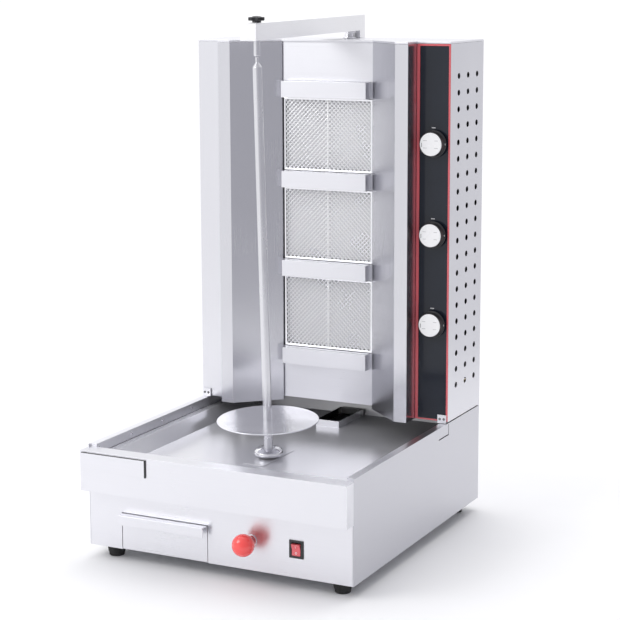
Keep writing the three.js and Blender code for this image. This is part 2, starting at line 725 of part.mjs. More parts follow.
// A channel open below, turned down at its rear end into a leg that stops just above the tower.
function armChannel() {
  const { half, front, rear, bottom, top, wall } = ARM;
  const inside = [-half + wall, half - wall];
  const beam = box([-half, half], [front, rear], [bottom, top]);
  const leg = box([-half, half], [ARM_LEG_FRONT, rear], [TOWER_TOP - 5, top]);
  const saddle = box([-half + 1, half - 1], [520, ARM_LEG_FRONT + 1], [bottom, bottom + wall]);
  const hollow = box(inside, [front + wall, ARM_LEG_FRONT], [bottom - 1, top - wall]);
  const legHollow = box(inside, [ARM_LEG_FRONT + wall, rear - wall], [TOWER_TOP - 6, top - wall]);
  const level = cut(join(cut(beam, hollow), saddle, cut(leg, legHollow)), legHollow);
  const drooped = level
    .translate(0, -ARM_PIVOT_Y, -bottom)
    .rotateX(ARM_DROOP)
    .translate(0, ARM_PIVOT_Y, bottom);
  const pivotHole = rod(6.6, [0, ARM_PIVOT_Y, bottom - 2], [0, ARM_PIVOT_Y, bottom + wall + 2]);
  const pinHole = rod(5.1, [0, PIN_Y, ARM_TOP_AT_PIN - wall - 2], [0, PIN_Y, ARM_TOP_AT_PIN + 2]);
  const belowLeg = box([-half - 1, half + 1], [ARM_PIVOT_Y, rear + 10], [TOWER_TOP - 20, TOWER_TOP + GAP]);
  return cut(drooped, pivotHole, pinHole, belowLeg);
}

const ARM_AIR = GAP + 0.2; // air left at the pivot, where the arm leans

function armPivot() {
  const foot = TOWER_TOP + GAP;
  const seat = ARM.bottom - ARM_AIR;
  const head = ARM.bottom + ARM.wall + ARM_AIR;
  return turned([
    [0, foot], [12.5, foot], [12.5, foot + 3], [8, foot + 5], [8, seat - 4], [12.5, seat - 3],
    [12.5, seat], [6, seat], [6, head], [10, head], [10, head + 6], [0, head + 6],
  ], 20).translate(0, ARM_PIVOT_Y, 0);
}

function topPin() {
  const shoulder = ARM_TOP_AT_PIN - 15;
  const end = ARM_TOP_AT_PIN + 4;
  return turned([
    [0, PIN_TIP_Z], [5, PIN_TIP_Z], [5.7, PIN_TIP_Z + 1], [5.7, shoulder],
    [4.7, shoulder + 1], [4.7, end], [0, end],
  ], 16).translate(0, PIN_Y, 0);
}

function starKnob() {
  const lobes = 7;
  const outline = [];
  for (let i = 0; i < lobes * 4; i += 1) {
    const angle = (i / (lobes * 4)) * 2 * Math.PI;
    const radius = 13 + 2 * Math.cos(lobes * angle);
    outline.push([radius * Math.cos(angle), radius * Math.sin(angle)]);
  }
  const head = prism('xy', outline, 3.5, 10);
  const hub = rod(8, [0, 0, ARM_AIR], [0, 0, 4], 20);
  const dome = turned([[0, 9], [9, 9], [6, 11.5], [0, 12]], 20);
  const bore = rod(4.9, [0, 0, -1], [0, 0, 6]);
  return cut(join(head, hub, dome), bore).translate(0, PIN_Y, ARM_TOP_AT_PIN);
}

add('arm_channel', armChannel(), STEEL);
add('arm_pivot', armPivot(), ZINC);
add('top_pin', topPin(), STEEL);
add('star_knob', starKnob(), BLACK);

machine.position.y = -ORIGIN_Y;

export default machine;
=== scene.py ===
"""Looks of the vertical rotisserie broiler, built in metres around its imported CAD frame.

Folded sheets are the CAD's own shapes with rounded edges. Turned parts, knobs, wire guards and
perforated covers are made here at full fineness, and stand for their CAD nodes. All textures are
procedural and use object coordinates, which are the row frame's because every piece keeps its
origin there.
"""

import json
import math

import bmesh
import bpy
from mathutils import Matrix, Vector


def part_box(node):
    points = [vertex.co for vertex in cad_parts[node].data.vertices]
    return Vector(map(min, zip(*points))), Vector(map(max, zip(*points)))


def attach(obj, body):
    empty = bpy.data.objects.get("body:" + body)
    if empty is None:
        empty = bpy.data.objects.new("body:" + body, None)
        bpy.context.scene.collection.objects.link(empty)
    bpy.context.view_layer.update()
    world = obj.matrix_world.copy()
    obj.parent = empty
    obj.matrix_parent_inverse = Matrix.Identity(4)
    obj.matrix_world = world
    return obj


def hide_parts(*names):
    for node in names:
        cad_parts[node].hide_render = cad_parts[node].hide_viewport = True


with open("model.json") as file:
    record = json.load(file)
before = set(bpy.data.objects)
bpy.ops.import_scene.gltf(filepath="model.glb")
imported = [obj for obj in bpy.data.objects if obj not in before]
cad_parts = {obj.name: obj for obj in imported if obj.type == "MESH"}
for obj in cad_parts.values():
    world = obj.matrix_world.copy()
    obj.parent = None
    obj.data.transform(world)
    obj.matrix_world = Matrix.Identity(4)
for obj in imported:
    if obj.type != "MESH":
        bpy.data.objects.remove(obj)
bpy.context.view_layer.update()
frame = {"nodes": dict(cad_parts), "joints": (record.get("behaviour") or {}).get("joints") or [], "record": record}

MM = 0.001
X = Vector((1, 0, 0))
Y = Vector((0, 1, 0))
Z = Vector((0, 0, 1))

bodies = frame["record"]["behaviour"]["bodies"]
node_body = {node: body for body, nodes in bodies.items() for node in nodes}
joint = {j["name"]: j for j in frame["joints"]}


def low(node):
    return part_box(node)[0]


def high(node):
    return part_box(node)[1]


def middle(node):
    return (low(node) + high(node)) / 2


# ---------------------------------------------------------------- materials


class Graph:
    """A node material with the row frame's coordinates and a Principled shader."""

    def __init__(self, name):
        self.material = bpy.data.materials.new(name)
        self.material.use_nodes = True
        self.tree = self.material.node_tree
        self.shader = self.tree.nodes["Principled BSDF"]
        self.coordinates = self.tree.nodes.new("ShaderNodeTexCoord").outputs["Object"]

    def add(self, kind, inputs=(), **settings):
        node = self.tree.nodes.new("ShaderNode" + kind)
        for key, value in settings.items():
            setattr(node, key, value)
        for key, value in dict(inputs).items():
            if isinstance(value, bpy.types.NodeSocket):
                self.tree.links.new(value, node.inputs[key])
            else:
                node.inputs[key].default_value = value
        return node

    def noise(self, scale, detail=2.0, stretch=(1, 1, 1), roughness=0.5):
        placed = self.add("Mapping", {"Vector": self.coordinates, "Scale": stretch}).outputs[0]
        inputs = {"Vector": placed, "Scale": scale, "Detail": detail, "Roughness": roughness}
        return self.add("TexNoise", inputs).outputs[0]

    def spread(self, value, low_out, high_out, low_in=0.3, high_in=0.7):
        inputs = {0: value, 1: low_in, 2: high_in, 3: low_out, 4: high_out}
        return self.add("MapRange", inputs).outputs[0]

    def math(self, operation, a, b):
        return self.add("Math", {0: a, 1: b}, operation=operation).outputs[0]

    def ramp(self, value, *stops):
        node = self.add("ValToRGB", {0: value})
        elements = node.color_ramp.elements
        while len(elements) < len(stops):
            elements.new(0.5)
        for element, (position, colour) in zip(elements, stops):
            element.position = position
            element.color = (*colour, 1)
        return node.outputs[0]

    def mix(self, factor, a, b):
        node = self.add("Mix", data_type="RGBA")
        for key, value in ((0, factor), (6, a), (7, b)):
            if isinstance(value, bpy.types.NodeSocket):
                self.tree.links.new(value, node.inputs[key])
            else:
                node.inputs[key].default_value = value if key == 0 else (*value, 1)
        return node.outputs[2]

    def inside(self, corner_a, corner_b):
        """One within a box given by two corners, and nought outside it."""
        split = self.add("SeparateXYZ", {0: self.coordinates})
        both = None
        for axis in range(3):
            centre = (corner_a[axis] + corner_b[axis]) / 2
            reach = abs(corner_b[axis] - corner_a[axis]) / 2
            offset = self.math("ABSOLUTE", self.math("SUBTRACT", split.outputs[axis], centre), 0)
            within = self.math("LESS_THAN", offset, reach)
            both = within if both is None else self.math("MULTIPLY", both, within)
        return both

    def set(self, **values):
        """Sets or links the shader's sockets, with _ for a space in their names."""
        for key, value in values.items():
            socket = self.shader.inputs[key.replace("_", " ")]
            if isinstance(value, bpy.types.NodeSocket):
                self.tree.links.new(value, socket)
            elif isinstance(value, tuple):
                socket.default_value = (*value, 1)
            else:
                socket.default_value = value
        return self

    def bump(self, height, strength, distance=0.0005):
        inputs = {"Height": height, "Strength": strength, "Distance": distance}
        return self.set(Normal=self.add("Bump", inputs).outputs[0])


def shade(colour, factor):
    return tuple(min(1.0, c * factor) for c in colour)


GRAIN_ALONG = {"x": (12, 1500, 1500), "y": (1500, 12, 1500), "z": (1500, 1500, 12)}


def brushed(name, colour, roughness, grain, contrast=0.012, relief=0.005, stretched=0.6,
            dark_within=(), metallic=1.0):
    """Satin sheet: fine streaks along the grain, soft handling marks and a few deeper scratches.

    The parts of the sheet inside the boxes of dark_within, each two corners and a tone, are
    darkened to that tone as painted shade. Less than one metallic gives the sheet a thin dull film.
    """
    g = Graph(name)
    across = g.add("Tangent", direction_type="RADIAL", axis=grain.upper())
    g.set(Tangent=across.outputs[0], Anisotropic=stretched)
    streaks = g.noise(1, 3, GRAIN_ALONG[grain])
    clouds = g.noise(6, 3)
    scratches = g.noise(0.3, 1, GRAIN_ALONG[grain])
    deep = g.spread(scratches, 0, 1, 0.70, 0.78)
    tone = g.math("ADD", g.math("MULTIPLY", streaks, 0.6), g.math("MULTIPLY", clouds, 0.4))
    even = g.ramp(tone, (0.35, shade(colour, 1 - contrast)), (0.65, shade(colour, 1 + contrast)))
    sheet = g.mix(g.math("MULTIPLY", deep, 0.15), even, shade(colour, 0.85))
    # painted shade: inside each box the sheet's colour is replaced by a dark tone
    for corner_a, corner_b, tone in dark_within:
        sheet = g.mix(g.inside(corner_a, corner_b), sheet, (tone, tone, tone))
    g.set(Base_Color=sheet, Metallic=metallic)
    fine = g.spread(streaks, roughness - 0.02, roughness + 0.02)
    g.set(Roughness=g.math("ADD", fine, g.spread(clouds, -0.02, 0.03)))
    g.bump(g.math("SUBTRACT", streaks, g.math("MULTIPLY", deep, 0.5)), relief, 0.0002)
    return g.material


def polished(name, colour, roughness, cloud=0.04, relief=0.02, metallic=1.0):
    """Mirror-like metal with faint wipe marks."""
    g = Graph(name)
    wipes = g.noise(14, 4, (1, 2.5, 1))
    clouds = g.noise(4, 2)
    colours = (0.3, shade(colour, 1 - cloud)), (0.7, shade(colour, 1 + cloud))
    g.set(Base_Color=g.ramp(clouds, *colours), Metallic=metallic)
    g.set(Roughness=g.spread(wipes, roughness * 0.7, roughness * 1.3))
    g.bump(g.noise(120, 3), relief, 0.0002)
    return g.material


def plastic(name, colour, roughness, grain_size=900, relief=0.12, coat=0.0, mottle=0.12, shine=0.5):
    """Moulded plastic, rubber or paint: a fine grain, slight mottling and scuffs."""
    g = Graph(name)
    grain = g.noise(grain_size, 2)
    mottling = g.noise(25, 3)
    colours = (0.3, shade(colour, 1 - mottle)), (0.7, shade(colour, 1 + mottle))
    g.set(Base_Color=g.ramp(mottling, *colours))
    scuffs = g.spread(g.noise(60, 5, roughness=0.7), 0.0, 0.12, 0.55, 0.75)
    g.set(Roughness=g.math("ADD", g.spread(mottling, roughness * 0.85, roughness * 1.15), scuffs))
    g.set(Coat_Weight=coat, Coat_Roughness=0.05, Specular_IOR_Level=shine)
    g.bump(grain, relief, 0.0003)
    return g.material


def ceramic(name):
    """Fired honeycomb plate: rows of small bores darkened with painted shade, in a pale, slightly stained body."""
    g = Graph(name)
    cells = g.add("TexVoronoi", {"Vector": g.coordinates, "Scale": 380.0, "Randomness": 0.12})
    bores = g.spread(cells.outputs["Distance"], 1, 0, 0.24, 0.36)
    stain = g.noise(18, 4)
    body = g.ramp(stain, (0.3, (0.82, 0.82, 0.83)), (0.7, (0.88, 0.88, 0.89)))
    # painted shade: the body is darkened towards 0.3 inside the bores
    g.set(Base_Color=g.mix(g.math("MULTIPLY", bores, 0.3), body, (0.3, 0.3, 0.31)))
    g.set(Roughness=g.spread(stain, 0.8, 0.95), Metallic=0.0)
    g.bump(g.math("SUBTRACT", g.noise(600, 3), bores), 0.6, 0.0004)
    return g.material


STEEL = (0.77, 0.77, 0.805)
# painted shade: the back cover's inner side is darkened to a tone of 0.10
BACK_PAINTED_SHADE = (((-0.2606, 0.29, 0.19), (0.2606, 0.3056, 0.93), 0.10),)  # the casing's inner side
# painted shade on the drip tray: near black inside the duct, mid grey on the rear slope below the burners
TRAY_PAINTED_SHADE = (
    # painted shade, near black
    ((-0.0243, 0.1617, 0.160), (0.0243, 0.2763, 0.1829), 0.015),  # inside the duct
    # painted shade, mid grey
    ((-0.250, 0.262, 0.1702), (0.250, 0.300, 0.1945), 0.50),  # the rear slope, below the burners
)
materials = {
    "steel_x": brushed("steel_x", STEEL, 0.30, "x"),
    "steel_y": brushed("steel_y", STEEL, 0.32, "y"),
    # a darker copy of the casing steel for the base's right side: painted shade
    "shaded_side_steel": brushed("shaded_side_steel", (0.61, 0.61, 0.645), 0.32, "y"),
    "steel_z": brushed("steel_z", STEEL, 0.32, "z"),
    # the back cover carries painted shade on its inner side
    "back_steel": brushed("back_steel", STEEL, 0.32, "z", dark_within=BACK_PAINTED_SHADE),
    # a lighter copy of the casing steel for the arm: painted light
    "lit_arm_steel": brushed("lit_arm_steel", (0.97, 0.97, 0.98), 0.30, "y"),
    "steel_turned": polished("steel_turned", (0.72, 0.72, 0.75), 0.24, 0.03, 0.02),
    "steel_spun": polished("steel_spun", (0.80, 0.80, 0.835), 0.20, 0.02, 0.004, 0.88),
    "wing_steel": brushed("wing_steel", (0.66, 0.66, 0.695), 0.24, "z", 0.012, 0.004, 0.5),
    "front_steel": brushed("front_steel", (0.72, 0.72, 0.755), 0.30, "x"),
    "skirt_steel": brushed("skirt_steel", (0.69, 0.69, 0.725), 0.30, "x"),
    # the tray carries painted shade in its duct and on its rear slope
    "tray_steel": brushed("tray_steel", (0.81, 0.81, 0.845), 0.21, "x", 0.012, 0.003, 0.2,
                          TRAY_PAINTED_SHADE, 0.58),
    # a lighter copy of the casing steel for the base's left side: painted light (its higher roughness is real)
    "lit_rim_steel": brushed("lit_rim_steel", (0.90, 0.90, 0.93), 0.42, "y"),
    # the guards' two wire families are copies of one steel: the warp lighter as painted highlight on its
    # over-crossings, the weft darker as painted shade
    "lit_warp_steel": polished("lit_warp_steel", (0.99, 0.99, 0.99), 0.32, 0.01, 0.0),
    "shaded_weft_steel": polished("shaded_weft_steel", (0.88, 0.88, 0.90), 0.32, 0.01, 0.0),
    "chrome": polished("chrome", (0.86, 0.86, 0.88), 0.06, 0.02, 0.01),
    "zinc": brushed("zinc", (0.58, 0.59, 0.62), 0.42, "x", 0.08, 0.06),
    "burner_iron": plastic("burner_iron", (0.16, 0.16, 0.165), 0.62, 300, 0.5, 0.0, 0.25),
    "brass": polished("brass", (0.72, 0.57, 0.28), 0.28, 0.08, 0.05),
    "gloss_black": plastic("gloss_black", (0.016, 0.020, 0.030), 0.10, 200, 0.01, 0.0, 0.06, 0.32),
    "red_gloss": plastic("red_gloss", (0.74, 0.11, 0.13), 0.18, 300, 0.02, 0.7, 0.04),
    "red_ball": plastic("red_ball", (0.98, 0.075, 0.07), 0.10, 200, 0.01, 0.8, 0.04),
    "black_plastic": plastic("black_plastic", (0.020, 0.020, 0.022), 0.38, 1100, 0.2),
    "rubber": plastic("rubber", (0.018, 0.018, 0.018), 0.72, 700, 0.35),
    "ceramic": ceramic("ceramic"),
    "white_print": plastic("white_print", (0.80, 0.80, 0.81), 0.4, 900, 0.02, 0.0, 0.03),
    "grey_print": plastic("grey_print", (0.30, 0.30, 0.31), 0.4, 900, 0.02, 0.0, 0.05),
    "cap_white": plastic("cap_white", (0.93, 0.93, 0.93), 0.25, 300, 0.01, 0.3, 0.015),
}


# ---------------------------------------------------------------- mesh helpers


def finish_piece(name, mesh, material, body, replaced=()):
    mesh.materials.clear()
    mesh.materials.append(materials[material])
    piece = bpy.data.objects.new(name, mesh)
    bpy.context.scene.collection.objects.link(piece)
    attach(piece, body)
    if replaced:
        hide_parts(*replaced)
    return piece


def shaded(mesh_data, name, sharp_angle=35):
    """Turns a bmesh into a mesh that is smooth except over its sharp edges."""
    limit = math.radians(sharp_angle)
    for face in mesh_data.faces:
        face.smooth = True
    for edge in mesh_data.edges:
        edge.smooth = len(edge.link_faces) == 2 and edge.calc_face_angle(0) < limit
    mesh = bpy.data.meshes.new(name)
    mesh_data.to_mesh(mesh)
    mesh_data.free()
    return mesh


def bevelled(piece, width, segments=2):
    """Rounds the edges where faces meet at more than 30 degrees."""
    modifier = piece.modifiers.new("edges", "BEVEL")
    modifier.width = width
    modifier.segments = segments
    modifier.limit_method = "ANGLE"
    modifier.angle_limit = math.radians(30)
    modifier.harden_normals = True
    return piece


def flat_faced(piece):
    """Shades the large flat faces flat, and leaves the curve to the small ones at the edges."""
    modifier = piece.modifiers.new("normals", "WEIGHTED_NORMAL")
    modifier.weight = 60
    modifier.keep_sharp = True
    return piece


def sheet_piece(node, material, edge=0.35 * MM):
    """The CAD node's own shape with its flat faces merged and its edges rounded."""
    data = bmesh.new()
    data.from_mesh(frame["nodes"][node].data)
    bmesh.ops.remove_doubles(data, verts=data.verts, dist=1e-6)
    flat = math.radians(1)
    bmesh.ops.dissolve_limit(data, angle_limit=flat, verts=data.verts, edges=data.edges)
    mesh = shaded(data, node + "_skin")
    piece = finish_piece(node + "_skin", mesh, material, node_body[node], [node])
    if edge:
        bevelled(piece, edge)
    return piece


def rounded(profile, radius):
    """Replaces each corner of a turned profile that lies off the axis by a short arc."""
    points = [Vector(p) for p in profile]
    out = []
    for i, point in enumerate(points):
        if i in (0, len(points) - 1) or point.x < 1e-9:
            out.append(point)
            continue
        before = points[i - 1] - point
        after = points[i + 1] - point
        reach = min(radius, before.length * 0.45, after.length * 0.45)
        start = point + before.normalized() * reach
        end = point + after.normalized() * reach
        for t in (0, 1 / 3, 2 / 3, 1):
            out.append(start.lerp(point, t).lerp(point.lerp(end, t), t))
    return out


def lathe(data, profile, place, sides=64, radius=0.3, lobes=0, depth=0.0):
    """Adds a turned solid to a bmesh: profile points are (radius, height) in millimetres.

    With lobes, radii beyond 9 mm swell and shrink by depth that many times round the piece.
    """
    rings = []
    for point in rounded(profile, radius):
        if point.x < 1e-9:
            rings.append([data.verts.new(place @ Vector((0, 0, point.y * MM)))])
            continue
        ring = []
        for i in range(sides):
            turn = 2 * math.pi * i / sides
            reach = point.x + (depth * math.cos(lobes * turn) if point.x > 9 else 0)
            spot = Vector((reach * math.cos(turn), reach * math.sin(turn), point.y)) * MM
            ring.append(data.verts.new(place @ spot))
        rings.append(ring)
    for a, b in zip(rings, rings[1:]):
        for i in range(sides):
            j = (i + 1) % sides
            corners = [a[i % len(a)], a[j % len(a)], b[j % len(b)], b[i % len(b)]]
            corners = list(dict.fromkeys(corners))
            if len(corners) > 2:
                data.faces.new(corners)
    bmesh.ops.remove_doubles(data, verts=data.verts, dist=1e-6)
    bmesh.ops.recalc_face_normals(data, faces=data.faces)
    return data


def place_at(origin, axis=Z):
    """A frame at origin whose z axis is the given one."""
    return Matrix.Translation(origin) @ Vector(axis).to_track_quat("Z", "Y").to_matrix().to_4x4()


def turned_piece(name, profile, origin, axis, material, body, replaced=(), sides=64,
                 radius=0.3):
    data = lathe(bmesh.new(), profile, place_at(origin, axis), sides, radius)
    return flat_faced(finish_piece(name, shaded(data, name), material, body, replaced))


def box_into(data, corner_a, corner_b):
    """Adds a box between two corners to a bmesh, and returns its vertices."""
    a, b = Vector(corner_a), Vector(corner_b)
    size = Matrix.Diagonal((*(b - a), 1.0))
    made = bmesh.ops.create_cube(data, size=1, matrix=Matrix.Translation((a + b) / 2) @ size)
    return made["verts"]


# ---------------------------------------------------------------- casing

SHEETS = {
    "base_right_panel": "shaded_side_steel",
    "base_left_panel": "lit_rim_steel",
    "base_front_panel": "steel_x",
    "base_rear_panel": "steel_x",
    "tray_apron": "steel_x",
    "drip_tray": "tray_steel",
    "grease_drawer": "steel_x",
    "top_cover": "steel_y",
    "back_cover": "back_steel",
    "left_front_panel": "steel_z",
    "right_wing": "wing_steel",
    "left_wing": "wing_steel",
    "burner_header": "front_steel",
    "burner_skirt": "skirt_steel",
    "drive_carriage": "tray_steel",
    "carriage_rails": "zinc",
    "base_floor": "zinc",
    "arm_channel": "lit_arm_steel",
    "control_panel": "gloss_black",
    "control_panel_trim": "red_gloss",
    "switch_bezel": "black_plastic",
    "burner_bar_1": "front_steel",
    "burner_bar_2": "front_steel",
    "burner_bar_3": "front_steel",
    "burner_bar_4": "front_steel",
}

SOFT_EDGES = {"tray_apron": 0.9 * MM, "grease_drawer": 0.6 * MM, "control_panel_trim": 0.9 * MM}

for node, material in SHEETS.items():
    sheet_piece(node, material, SOFT_EDGES.get(node, 0.35 * MM))

for i in (1, 2, 3):
    sheet_piece(f"burner_plate_{i}", "ceramic", 0.5 * MM)
    sheet_piece(f"burner_housing_{i}", "burner_iron", 1.0 * MM)
sheet_piece("gas_train", "brass", 0)
sheet_piece("gear_motor", "zinc", 0.6 * MM)

HOLE_RADIUS = 5.5 * MM
HOLE_STRETCH = 1.18  # the holes are slightly wider than they are tall
HOLE_COLUMNS = (0.175, 0.2215, 0.2675)  # y of the three columns
HOLE_TOP = 0.862
HOLE_PITCH = 0.0307
HOLE_ROWS = 20


def hole_spline(curve, u, v, radius, sides=28):
    spline = curve.splines.new("POLY")
    spline.points.add(sides - 1)
    for i, point in enumerate(spline.points):
        turn = 2 * math.pi * i / sides
        point.co = (u + radius * HOLE_STRETCH * math.cos(turn), v + radius * math.sin(turn), 0, 1)
    spline.use_cyclic_u = True


def perforated_cover(node):
    """A side cover cut from sheet, with punched holes and slightly rolled edges."""
    a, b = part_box(node)
    curve = bpy.data.curves.new(node, "CURVE")
    curve.dimensions = "2D"
    curve.fill_mode = "BOTH"
    rolled = 0.2 * MM
    thickness = b.x - a.x
    curve.extrude = thickness / 2 - rolled
    curve.bevel_depth = rolled
    curve.bevel_resolution = 1
    curve.offset = -rolled
    outline = curve.splines.new("POLY")
    outline.points.add(3)
    for point, (u, v) in zip(outline.points, ((a.y, a.z), (b.y, a.z), (b.y, b.z), (a.y, b.z))):
        point.co = (u, v, 0, 1)
    outline.use_cyclic_u = True
    for y in HOLE_COLUMNS:
        for row in range(HOLE_ROWS):
            hole_spline(curve, y, HOLE_TOP - row * HOLE_PITCH, HOLE_RADIUS)
    flat = bpy.data.objects.new(node + "_curve", curve)
    mesh = bpy.data.meshes.new_from_object(flat)
    bpy.data.objects.remove(flat)
    upright = Matrix(((0, 0, 1, (a.x + b.x) / 2), (1, 0, 0, 0), (0, 1, 0, 0), (0, 0, 0, 1)))
    mesh.transform(upright)
    data = bmesh.new()
    data.from_mesh(mesh)
    bmesh.ops.remove_doubles(data, verts=data.verts, dist=1e-6)
    name = node + "_skin"
    mesh = shaded(data, name, 50)
    flat_faced(finish_piece(name, mesh, "steel_z", "cabinet", [node]))


perforated_cover("right_side_cover")
perforated_cover("left_side_cover")

FOOT = [(0, 0), (13.4, 0), (14, 0.6), (14.6, 6), (15.4, 6.8)]
FOOT += [(17.2, 18), (18, 19), (18, 23.9), (0, 23.9)]

for i in range(1, 5):
    foot = f"foot_{i}"
    origin = middle(foot)
    origin.z = 0
    turned_piece(foot + "_turned", FOOT, origin, Z, "rubber", "cabinet", [foot], 48, 0.6)

SCREW = [(0, -0.6), (4.2, -0.6), (4.2, 0.3), (3.4, 1.5), (1.8, 2.0), (0, 2.1)]


def screw(data, origin, axis, scale=1.0):
    """A pan-head screw with a fine cross on its head, its seat at origin."""
    place = place_at(origin, axis)
    lathe(data, [(r * scale, h * scale) for r, h in SCREW], place, 24, 0.3)
    size = 1.7 * scale * MM
    slim = 0.35 * scale * MM
    rise = 2.13 * scale * MM
    for u, v in ((size, slim), (slim, size)):
        corners = box_into(data, (-u, -v, rise - 0.3 * MM), (u, v, rise))
        bmesh.ops.transform(data, matrix=place, verts=corners)


def screws(name, places, axis, scale=1.0, material="steel_turned"):
    data = bmesh.new()
    for origin in places:
        screw(data, origin, axis, scale)
    return finish_piece(name, shaded(data, name), material, "cabinet")


RIM_SCREW_YS = (-0.273, -0.162, -0.051, 0.060)  # along the rims
RIM_SCREW_Z = 0.2045
RIM_INNER = 0.250

screws("rim_screws_right", [(RIM_INNER, y, RIM_SCREW_Z) for y in RIM_SCREW_YS], -X, 0.62)
screws("rim_screws_left", [(-RIM_INNER, y, RIM_SCREW_Z) for y in RIM_SCREW_YS], X, 0.62)

BACK_SCREW_XS = (-0.25, 0.25)
BACK_SCREW_ZS = (0.215, 0.45, 0.68, 0.905)
back_seat = high("back_cover").y - 0.4 * MM
screws("back_screws", [(x, back_seat, z) for x in BACK_SCREW_XS for z in BACK_SCREW_ZS], Y, 0.8)

BRACKET = {"inner": 0.2455, "outer": 0.2635, "low": 0.2125, "high": 0.2285, "face": 0.1295}
BRACKET_THICKNESS = 1.5 * MM
BRACKET_SCREW_XS = (0.2505, 0.2585)


def corner_bracket(side):
    """A small plate that ties the tower's front corner to the rim, with its two screws."""
    data = bmesh.new()
    left, right = sorted((side * BRACKET["inner"], side * BRACKET["outer"]))
    face = BRACKET["face"]
    box_into(data, (left, face, BRACKET["low"]), (right, face + BRACKET_THICKNESS, BRACKET["high"]))
    name = "bracket_right" if side > 0 else "bracket_left"
    bevelled(finish_piece(name, shaded(data, name), "steel_x", "cabinet"), 0.4 * MM)
    height = (BRACKET["low"] + BRACKET["high"]) / 2
    places = [(side * x, face, height) for x in BRACKET_SCREW_XS]
    screws(name + "_screws", places, -Y, 0.6, "burner_iron")


corner_bracket(1)
corner_bracket(-1)

PLATE = {"left": -0.2615, "right": -0.127, "low": 0.172, "high": 0.204}
PLATE_THICKNESS = 0.0022
# the dark lines are painted shadow
TOP_SHADOW_LINE, SIDE_SHADOW_LINE = 0.0009, 0.0024  # widths of the dark lines


def label_plate():
    """A blank plate on the apron, with a thin strip of painted shadow along its top and right edges."""
    data = bmesh.new()
    face = low("tray_apron").y
    front = face - PLATE_THICKNESS
    left, right, bottom, top = (PLATE[side] for side in ("left", "right", "low", "high"))
    box_into(data, (left, front, bottom), (right, face, top))
    mesh = shaded(data, "label_plate")
    bevelled(finish_piece("label_plate", mesh, "steel_x", "cabinet"), 0.15 * MM)
    # painted shadow: dark strips along the plate's top and right edges
    shadow_lines = bmesh.new()
    proud = 0.0001
    under_line = top - TOP_SHADOW_LINE
    box_into(shadow_lines, (left, front - proud, under_line), (right, face, top + proud))
    box_into(shadow_lines, (right - SIDE_SHADOW_LINE, front - proud, bottom), (right + proud, face, under_line))
    mesh = shaded(shadow_lines, "label_plate_painted_shadow")
    finish_piece("label_plate_painted_shadow", mesh, "black_plastic", "cabinet")


label_plate()

# ---------------------------------------------------------------- pull, spit and top bearing

PULL = middle("pull_ball")
bush = [(4.4, 2.4), (8, 2.4), (10.5, 1.8), (10.5, 0.3), (9, 0.3), (9, -8), (4.4, -8), (4.4, 2.4)]
bush_place = Vector((PULL.x, high("pull_bush").y - 8 * MM, PULL.z))
turned_piece("pull_bush_turned", bush, bush_place, -Y, "steel_turned", "cabinet",
             ["pull_bush"])

rod_front, rod_back = low("pull_rod").y, high("pull_rod").y
length = (rod_back - rod_front) / MM
rod_profile = [(0, 0), (4, 0), (4, length), (0, length)]
rod_start = Vector((PULL.x, rod_front, PULL.z))
turned_piece("pull_rod_turned", rod_profile, rod_start, Y, "chrome", "carriage",
             ["pull_rod"], 40, 0.4)

BALL_RADIUS = 20
ball_arc = [math.radians(a) for a in range(-69, 90, 3)]
ball = [(0, -19.8), (6.5, -19.8)]
ball += [(BALL_RADIUS * math.cos(a), BALL_RADIUS * math.sin(a)) for a in ball_arc]
ball.append((0, BALL_RADIUS))
turned_piece("pull_ball_turned", ball, PULL, -Y, "red_ball", "carriage",
             ["pull_ball"], 72, 0.05)

spin = joint["spit_spin"]
SEAT = Vector(spin["pos_m"])
SPIT_AXIS = Vector(spin["axis"])
seat = [(6.8, -7.1), (12, -7.1), (12, -4.9), (6.8, -4.9), (6.8, -7.1)]
turned_piece("seat_turned", seat, SEAT, SPIT_AXIS, "brass", "spit_swivel",
             ["swivel_seat"], 64, 0.2)

boss = [(0, -4.5), (12.5, -4.5), (12.5, -6.3), (20, -6.3), (25, -3.5), (27, 0.3)]
boss += [(26, 4), (21.5, 7.6), (13, 9.8), (8.6, 9.8), (8.6, 2), (0, 2)]
turned_piece("boss_turned", boss, SEAT, SPIT_AXIS, "chrome", "spit",
             ["drive_boss"], 72, 1.2)

DISC_Z = 0.242  # height of the disc's upper side above the ground
DISC_TOP = (DISC_Z - SEAT.z) / SPIT_AXIS.z / MM  # the same along the spit, in millimetres
DISC_THICKNESS = 2.2
DISC_RADIUS = 94
ROD_RADIUS = 8.25
SPIT_TIP = 725.9
shoulder = DISC_TOP - DISC_THICKNESS - 0.3
rod = [(0, 2.3), (ROD_RADIUS, 2.3), (ROD_RADIUS, shoulder - 12), (14, shoulder - 10)]
rod += [(14, shoulder), (ROD_RADIUS, shoulder), (ROD_RADIUS, SPIT_TIP - 17)]
rod += [(3, SPIT_TIP - 9), (3, SPIT_TIP), (0, SPIT_TIP)]
turned_piece("rod_turned", rod, SEAT, SPIT_AXIS, "steel_turned", "spit",
             ["spit_rod"], 48, 0.5)

disc_bottom = DISC_TOP - DISC_THICKNESS
disc_bore = 8.55
disc = [(disc_bore, DISC_TOP), (DISC_RADIUS, DISC_TOP), (DISC_RADIUS, disc_bottom)]
disc += [(disc_bore, disc_bottom), (disc_bore, DISC_TOP)]
turned_piece("disc_turned", disc, SEAT, SPIT_AXIS, "steel_spun", "spit",
             ["meat_disc"], 128, 0.8)

